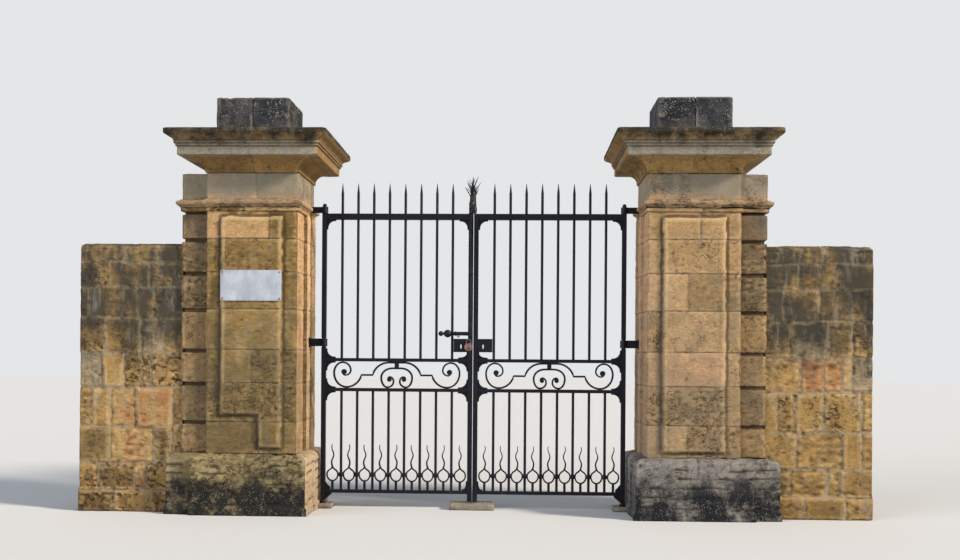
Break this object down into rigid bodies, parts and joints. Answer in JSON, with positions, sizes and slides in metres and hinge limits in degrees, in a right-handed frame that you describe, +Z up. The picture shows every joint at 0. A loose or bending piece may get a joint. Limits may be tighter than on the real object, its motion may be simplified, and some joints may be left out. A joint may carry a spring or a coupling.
{
  "type": "wrought iron driveway gate",
  "caption": "Double-leaf wrought iron driveway gate with a scrolled frieze and pointed bars, hung between moulded sandstone piers with short wall returns.",
  "frame": {"origin": "centre of the left pier's flat foot, seen from the street", "axes": "+X along the gate to the right pier, -Y towards the street, +Z up"},
  "size_m": [6.86, 1.28, 3.603],
  "materials": {
    "wrought_iron": "weathered black paint with a blue cast, satin, rust at joints",
    "rusty_steel": "pink-brown rust over old steel",
    "ochre_ashlar": "pitted ochre sandstone, dressed and weathered",
    "weathered_base_stone": "grey weathered sandstone with dark stains",
    "lichened_cornice_stone": "moulded sandstone greyed by lichen",
    "dark_cap_stone": "dark weathered stone with pale lichen",
    "sill_stone": "worn pale stone",
    "painted_plate": "pale blue-grey enamel, bare"
  },
  "bodies": {
    "piers": {"left_pier_plinth": "weathered_base_stone", "left_pier_shaft": "ochre_ashlar", "left_pier_frieze": "ochre_ashlar", "left_pier_cornice": "lichened_cornice_stone", "left_pier_block": "dark_cap_stone", "left_quoins": "ochre_ashlar", "left_wall": "ochre_ashlar", "left_hinge_straps": "wrought_iron", "left_pivot_stone": "sill_stone", "left_pivot_cup": "wrought_iron", "right_pier_plinth": "weathered_base_stone", "right_pier_shaft": "ochre_ashlar", "right_pier_frieze": "ochre_ashlar", "right_pier_cornice": "lichened_cornice_stone", "right_pier_block": "dark_cap_stone", "right_quoins": "ochre_ashlar", "right_wall": "ochre_ashlar", "right_hinge_straps": "wrought_iron", "right_pivot_stone": "sill_stone", "right_pivot_cup": "wrought_iron", "plain_plate": "painted_plate", "sill_stone": "sill_stone"},
    "left_leaf": {"left_hinge_stile": "wrought_iron", "left_meeting_stile": "wrought_iron", "left_rails": "wrought_iron", "left_upper_bars": "wrought_iron", "left_lower_bars": "wrought_iron", "left_scrolls": "wrought_iron", "left_dog_bars": "wrought_iron", "left_corner_plates": "wrought_iron", "left_lock_case": "wrought_iron", "thistle_finial": "wrought_iron", "rod_guides": "wrought_iron", "padlock": "rusty_steel"},
    "right_leaf": {"right_hinge_stile": "wrought_iron", "right_meeting_stile": "wrought_iron", "right_rails": "wrought_iron", "right_upper_bars": "wrought_iron", "right_lower_bars": "wrought_iron", "right_scrolls": "wrought_iron", "right_dog_bars": "wrought_iron", "right_corner_plates": "wrought_iron", "right_lock_case": "wrought_iron"},
    "bolt": {"bolt_rod": "wrought_iron"}
  },
  "joints": [
    {"name": "left_leaf_swing", "type": "hinge", "parent": "piers", "child": "left_leaf", "pos_m": [0.55, 0.08, 1], "axis": [0, 0, 1], "range_deg": [0, 90]},
    {"name": "right_leaf_swing", "type": "hinge", "parent": "piers", "child": "right_leaf", "pos_m": [3.25, 0.08, 1], "axis": [0, 0, -1], "range_deg": [0, 90]},
    {"name": "bolt_turn", "type": "hinge", "parent": "left_leaf", "child": "bolt", "pos_m": [1.88, 0.04, 1.6], "axis": [0, 0, 1], "range_deg": [0, 90]}
  ]
}
